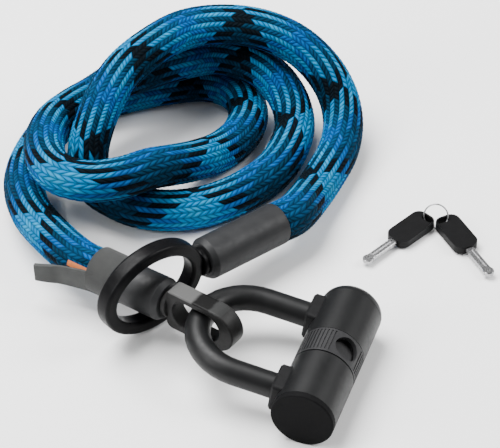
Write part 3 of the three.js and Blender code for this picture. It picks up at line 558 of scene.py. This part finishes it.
# ---------------------------------------------------------------- woven label
# A grey woven band is sewn round the small sleeve's mouth, over a short orange flap, and its folded
# tail stands off on the near side. It is stiff jacquard ribbon with a plain face.
BAND_RADIUS = (12.3, 13.1)
BAND_WIDTH = 17.0
BAND_ROUNDING = 0.3
MOUTH = -SLEEVE_LENGTHS["small"]
WEAVE_STEP = 0.7
TAIL_STEPS = 24
TAIL_ROUNDING = 0.1
TAIL_LENGTH = 29.0
TAIL_SEAM = 5.0
TAIL_STAND_OFF = 7.0
TAIL_DROP = 1.0
TAIL_HALF_HEIGHTS = (7.5, 5.3)    # at the seam and at the end
TAIL_HALF_THICKNESS = 0.7
TAIL_FLATTENS = 16.0              # how far out it still wraps round the rope
TAIL_FOLD = 0.66                  # share of the tail where its end is folded back on itself
FOLD_SHARPNESS = 12               # a higher one has a shorter slope
FOLD_THICKNESS = 0.7              # how much the fold adds to the thickness
SEAM_THINNESS = 0.1               # share of its thickness that the tail starts with
SEAM_STEPS = 5                    # steps in which it gains the rest
TAIL_WAVE = 0.5                   # how far it waves in and out

ribbon = Finish("label_ribbon", 0.85, Sheen_Weight=0.1)
weave = ribbon.sum("MULTIPLY", *(
    ribbon.sum("SINE", ribbon.sum("MULTIPLY", axis, 2 * math.pi / WEAVE_STEP))
    for axis in ribbon.axes()[::2]))
from_nose = ribbon.node("ShaderNodeVectorMath", 0, {
    0: ribbon.place(), 1: SMALL_END.translation * 1000}, operation="SUBTRACT")
run = ribbon.node("ShaderNodeVectorMath", 1, {0: from_nose, 1: length_way},
                  operation="DOT_PRODUCT")
shadow = ribbon.ramp(ribbon.sum("GREATER_THAN", run, MOUTH), [
    (0.0, (1.0,) * 3), (1.0, (0.5,) * 3)])
ribbon.colour(ribbon.mix("MULTIPLY", 1.0, ribbon.mix("MULTIPLY", 1.0, ribbon.ramp(
    ribbon.noise(6, 3), [(0.3, (0.023, 0.025, 0.024)), (0.7, (0.040, 0.042, 0.040))]),
    ribbon.ramp(weave, [(0.0, (0.8,) * 3), (1.0, (1.0,) * 3)])), shadow))
ribbon.bump(weave, 0.08, 0.6)
bm = bmesh.new()
inner, outer = BAND_RADIUS
turned(bm, rounded([(MOUTH, inner, 0), (MOUTH, outer, BAND_ROUNDING),
                    (MOUTH + BAND_WIDTH, outer, BAND_ROUNDING), (MOUTH + BAND_WIDTH, inner, 0)],
                   closed=True))
tail = []
for i in range(TAIL_STEPS + 1):
    out = -TAIL_SEAM + (TAIL_LENGTH + TAIL_SEAM) * i / TAIL_STEPS
    share = max(0.0, out / TAIL_LENGTH)
    wave = TAIL_WAVE * share * math.sin(3 * math.pi * share)
    tail.append(Vector((MOUTH - out, -outer - TAIL_STAND_OFF * share ** 2 - wave,
                        -TAIL_DROP * share)))
section = rounded([(x * TAIL_HALF_THICKNESS, y, TAIL_ROUNDING)
                   for x, y in ((-1, -1), (1, -1), (1, 1), (-1, 1))], closed=True)
rims = []
for i, middle in enumerate(tail):
    way = (tail[min(i + 1, TAIL_STEPS)] - tail[max(i - 1, 0)]).normalized()
    sideways = Vector((-way.y, way.x, 0.0)).normalized()
    tall = TAIL_HALF_HEIGHTS[0] + (TAIL_HALF_HEIGHTS[1] - TAIL_HALF_HEIGHTS[0]) * i / TAIL_STEPS
    wrapped = max(0.0, 1 - max(0.0, MOUTH - middle.x) / TAIL_FLATTENS)
    folded = min(1.0, max(0.0, FOLD_SHARPNESS * (i / TAIL_STEPS - TAIL_FOLD)))
    thin = min(1.0, SEAM_THINNESS + i / SEAM_STEPS) + FOLD_THICKNESS * folded
    verts = []
    for x, y in section:
        turn = y * tall / outer
        inward = wrapped * outer * (1 - math.cos(turn))
        level = y * tall * (1 - wrapped) + wrapped * outer * math.sin(turn)
        verts.append(bm.verts.new(middle + sideways * x * thin + Vector((0, inward, level))))
    rims.append([bm.edges.new((a, b)) for a, b in zip(verts, verts[1:] + verts[:1])])
for low, high in zip(rims, rims[1:]):
    bmesh.ops.bridge_loops(bm, edges=low + high)
for rim in (rims[0], rims[-1]):
    bmesh.ops.contextual_create(bm, geom=rim)
piece("woven_label", bm, SMALL_END, ribbon, "rope_set", "woven_grey", "label")

orange = Finish("flap_orange", 0.85, Specular_IOR_Level=0.2)
orange.colour(orange.ramp(orange.noise(2, 3), [
    (0.3, (0.34, 0.095, 0.030)), (0.7, (0.43, 0.140, 0.050))]))
FLAP_REACH = (-13.0, 2.0)         # along the sleeve from its mouth
FLAP_ANGLES = (24, 38)            # round the rope, in degrees above level
FLAP_RADIUS = 12.25
FLAP_THICKNESS = 0.5
bm = bmesh.new()
start, end = FLAP_REACH
low, high = FLAP_ANGLES
profile = [bm.verts.new((MOUTH + x, -radius * math.cos(math.radians(low)),
                         radius * math.sin(math.radians(low))))
           for x, radius in ((start, FLAP_RADIUS), (end, FLAP_RADIUS),
                             (end, FLAP_RADIUS + FLAP_THICKNESS),
                             (start, FLAP_RADIUS + FLAP_THICKNESS))]
flap = bm.faces.new(profile)
bmesh.ops.spin(bm, geom=[flap], cent=(0, 0, 0), axis=(1, 0, 0),
               angle=-math.radians(high - low), steps=12)
piece("orange_flap", bm, SMALL_END, orange, "rope_set", "woven_grey")


# ---------------------------------------------------------------- shackle
# The shackle is a 14 mm steel bar bent to a U, in smooth black coating. Both legs go through the
# barrel's bushes, and each has a round notch for a bolt.
coat = Finish("satin_coat", 0.44, Specular_IOR_Level=0.22)
coat.colour(coat.ramp(coat.noise(7, 3), [
    (0.3, (0.0030, 0.0032, 0.0035)), (0.7, (0.0045, 0.0047, 0.0050))]))
coat.roughness(coat.ramp(coat.noise(2.5, 4), [(0.3, (0.40,) * 3), (0.7, (0.49,) * 3)]))
coat.bump(coat.noise(0.6, 3), 0.02, 0.3)

FLATNESS = math.radians(0.5)      # triangles that meet at less than this are one face


def from_solid(name, node, finish, body, slot):
    """A copy of a solid with its triangles joined into faces and its round faces shaded round."""
    bm = bmesh.new()
    bm.from_mesh(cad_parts[node].data)
    bmesh.ops.remove_doubles(bm, verts=bm.verts, dist=2 * MERGE_WITHIN)
    bmesh.ops.dissolve_limit(bm, angle_limit=FLATNESS, verts=bm.verts, edges=bm.edges)
    piece(name, bm, Matrix(), finish, body, slot, node)


from_solid("shackle_bar", "shackle", coat, "shackle_body", "satin_black")


# ---------------------------------------------------------------- barrel
# The barrel is a zinc core in two drawn tubes with satin black coating, pinned on, with a flat cap
# on the near end and a domed one on the far end. Square nylon bushes guide the legs.
BARREL_RADIUS = 17.0
CAP_SEAM = 0.2                    # rounding of a cap where it meets its tube
NEAR_CAP = (41.95, 45.5, 0.8)     # from and to along the barrel, and the rounding of its face
FAR_CAP = (-39.25, -47.0, 7.0)
ULOCK = placed((41, -129.8, 17), 161.3, 7.5)     # X along the legs, Y along the barrel
QUARTER = Matrix.Rotation(math.pi / 2, 4, "Z")   # lays a piece made about X along the barrel
matte = Finish("matte_coat", 0.7, Specular_IOR_Level=0.06)
matte.colour(matte.ramp(matte.noise(1.5, 4), [
    (0.3, (0.0030, 0.0030, 0.0033)), (0.7, (0.0045, 0.0045, 0.0048))]))
matte.bump(matte.noise(0.4, 3), 0.03, 0.4)
for side in ("near", "far"):
    from_solid(f"{side}_tube", f"barrel_{side}_shell", coat, "barrel", "satin_black")
for side, cap, finish in (("near", NEAR_CAP, matte), ("far", FAR_CAP, coat)):
    start, end, rounding = cap
    bm = bmesh.new()
    turned(bm, rounded([(start, 0, 0), (start, BARREL_RADIUS, CAP_SEAM),
                        (end, BARREL_RADIUS, rounding), (end, 0, 0)], steps=8), 96)
    piece(f"{side}_cap", bm, ULOCK @ QUARTER, finish, "barrel", "satin_black", f"{side}_end_cap")

nylon = Finish("bush_nylon", 0.6, Specular_IOR_Level=0.15)
nylon.colour(nylon.ramp(nylon.noise(3, 3), [
    (0.3, (0.003, 0.003, 0.0034)), (0.7, (0.005, 0.005, 0.0055))]))
nylon.bump(nylon.noise(0.4, 3), 0.04, 0.5)
for side in ("near", "far"):
    from_solid(f"{side}_leg_bush", f"{side}_bush", nylon, "barrel", "bush_black")
dress(steel, "near_shell_pin", "far_shell_pin", "bolt_cam", "near_bolt", "far_bolt")
black_zinc = Finish("blackened_zinc", 0.55, Specular_IOR_Level=0.15)
black_zinc.colour(black_zinc.ramp(black_zinc.noise(2, 3), [
    (0.3, (0.006, 0.006, 0.0065)), (0.7, (0.010, 0.010, 0.0105))]))
dress(black_zinc, "barrel_core")


# ---------------------------------------------------------------- dust cover and key cylinder
# The fluted steel collar turns round the barrel, and is blasted to a matte grey. Its round window
# shows a blank pad at rest, and a sixth of a turn on it shows the brass key cylinder.
blasted = Finish("blasted_coat", 0.55, Specular_IOR_Level=0.22)
blasted.colour(blasted.ramp(blasted.noise(1.2, 4), [
    (0.3, (0.011, 0.011, 0.012)), (0.7, (0.018, 0.018, 0.019))]))
blasted.bump(blasted.noise(0.35, 3), 0.04, 0.5)
from_solid("fluted_collar", "dust_cover", blasted, "cover", "satin_black")
dress(blasted, "blank_pad")
brass = Finish("turned_brass", 0.3, 1.0)
brass.colour(brass.ramp(brass.noise(3, 4), [
    (0.3, (0.50, 0.36, 0.15)), (0.7, (0.64, 0.48, 0.22))]))
brass.roughness(brass.ramp(brass.noise(1, 3), [(0.3, (0.24,) * 3), (0.7, (0.38,) * 3)]))
dress(brass, "cylinder_housing", "cylinder_plug")


# ---------------------------------------------------------------- keys
# Two stamped steel keys with moulded black bows hang on a thin wire ring. Each bow has a cross slot
# for the ring, and each blade a long groove, a step and a rounded tip with a dimple.
BOW = (-3.2, 25.8, 7.25, 4.6)     # from, to, half width and thickness
BOW_CORNER = 5.0
BOW_EDGE = 0.6
SLOT = (1.8, 3.75, 2.1)           # half its width and length, and how far it is off the middle
OUTLINE_POINTS = 48
KEY_HEIGHT = 3.5                  # of the middle of the bows and blades
KEYS = (("one", placed((98.36, -0.58, KEY_HEIGHT), -134.6), 1),
        ("two", placed((110.6, -2.43, KEY_HEIGHT), -63.3), -1))

moulded = Finish("moulded_bow", 0.5, Specular_IOR_Level=0.12)
moulded.colour(moulded.ramp(moulded.noise(4, 3), [
    (0.3, (0.0015, 0.0015, 0.0018)), (0.7, (0.003, 0.003, 0.0033))]))
moulded.bump(moulded.noise(0.35, 3), 0.05, 0.5)
key_steel = Finish("key_steel", 0.28, 1.0)
key_steel.colour(key_steel.ramp(key_steel.noise(2, 4), [
    (0.3, (0.30, 0.30, 0.305)), (0.7, (0.42, 0.42, 0.425))]))
key_steel.roughness(key_steel.ramp(key_steel.noise(0.8, 3), [
    (0.3, (0.22,) * 3), (0.7, (0.36,) * 3)]))


def box_outline(x0, x1, half, corner):
    box = rounded([(x1, 0, 0), (x1, half, corner), (x0, half, corner), (x0, -half, corner),
                   (x1, -half, corner)], closed=True, steps=8)
    return evenly(box, OUTLINE_POINTS)


for name, key, side in KEYS:
    x0, x1, half, thickness = BOW
    slot = box_outline(-SLOT[0], SLOT[0], SLOT[1], SLOT[0] - NEARLY)
    bm = bmesh.new()
    slab(bm, box_outline(x0, x1, half, BOW_CORNER),
         [(x, y + side * SLOT[2]) for x, y in slot], thickness, BOW_EDGE, 3)
    piece(f"key_{name}_moulded_bow", bm, key, moulded, f"key_{name}", "bow_black",
          f"key_{name}_bow")
    from_solid(f"key_{name}_steel_blade", f"key_{name}_blade", key_steel, f"key_{name}",
               "key_steel")

RING_RADIUS = 6.8
WIRE_RADIUS = 0.45
RING_LEAN = 61.1                  # degrees from lying flat
RING = placed((104.72, -0.63, 6.45), -9.3) @ Matrix.Rotation(math.radians(RING_LEAN), 4, "X")
bm = bmesh.new()
wire = bmesh.ops.create_circle(bm, segments=12, radius=WIRE_RADIUS,
                               matrix=Matrix.Translation((RING_RADIUS, 0, 0))
                               @ Matrix.Rotation(math.pi / 2, 4, "X"))
bmesh.ops.spin(bm, geom=bm.verts[:] + bm.edges[:], cent=(0, 0, 0), axis=(0, 0, 1),
               angle=2 * math.pi, steps=96, use_merge=True)
piece("wire_ring", bm, RING, key_steel, "ring", "key_steel", "key_ring")


# ---------------------------------------------------------------- floor and light
# The lock lies on a plain pale floor under one large soft light above, a weaker one on each side
# and an even white room.
HALF_FLOOR = 3.0
bm = bmesh.new()
bmesh.ops.create_grid(bm, x_segments=1, y_segments=1, size=HALF_FLOOR)
mesh = bpy.data.meshes.new("floor")
bm.to_mesh(mesh)
bm.free()
floor = bpy.data.objects.new("floor", mesh)
bpy.context.collection.objects.link(floor)
paper = Finish("pale_floor", 0.9)
paper.colour((0.93, 0.93, 0.93, 1.0))
mesh.materials.append(paper.material)


AIM = Vector((0, 0, 0.03))


def softbox(name, place, size, power):
    light = bpy.data.lights.new(name, "AREA")
    light.shape = "RECTANGLE"
    light.size, light.size_y = size
    light.energy = power
    holder = bpy.data.objects.new(name, light)
    holder.location = place
    holder.rotation_euler = (Vector(place) - AIM).to_track_quat("Z", "Y").to_euler()
    bpy.context.collection.objects.link(holder)


softbox("top_box", (-0.5, 0.35, 1.4), (1.2, 1.0), 70)
softbox("left_box", (-1.1, -0.5, 0.8), (0.5, 0.8), 13.5)
softbox("right_box", (1.1, 0.1, 1.0), (0.6, 0.8), 19)
world = bpy.data.worlds.new("room")
world.use_nodes = True
room_light = world.node_tree.nodes["Background"]
room_light.inputs["Color"].default_value = (1.0, 1.0, 1.0, 1.0)
room_light.inputs["Strength"].default_value = 0.30
bpy.context.scene.world = world
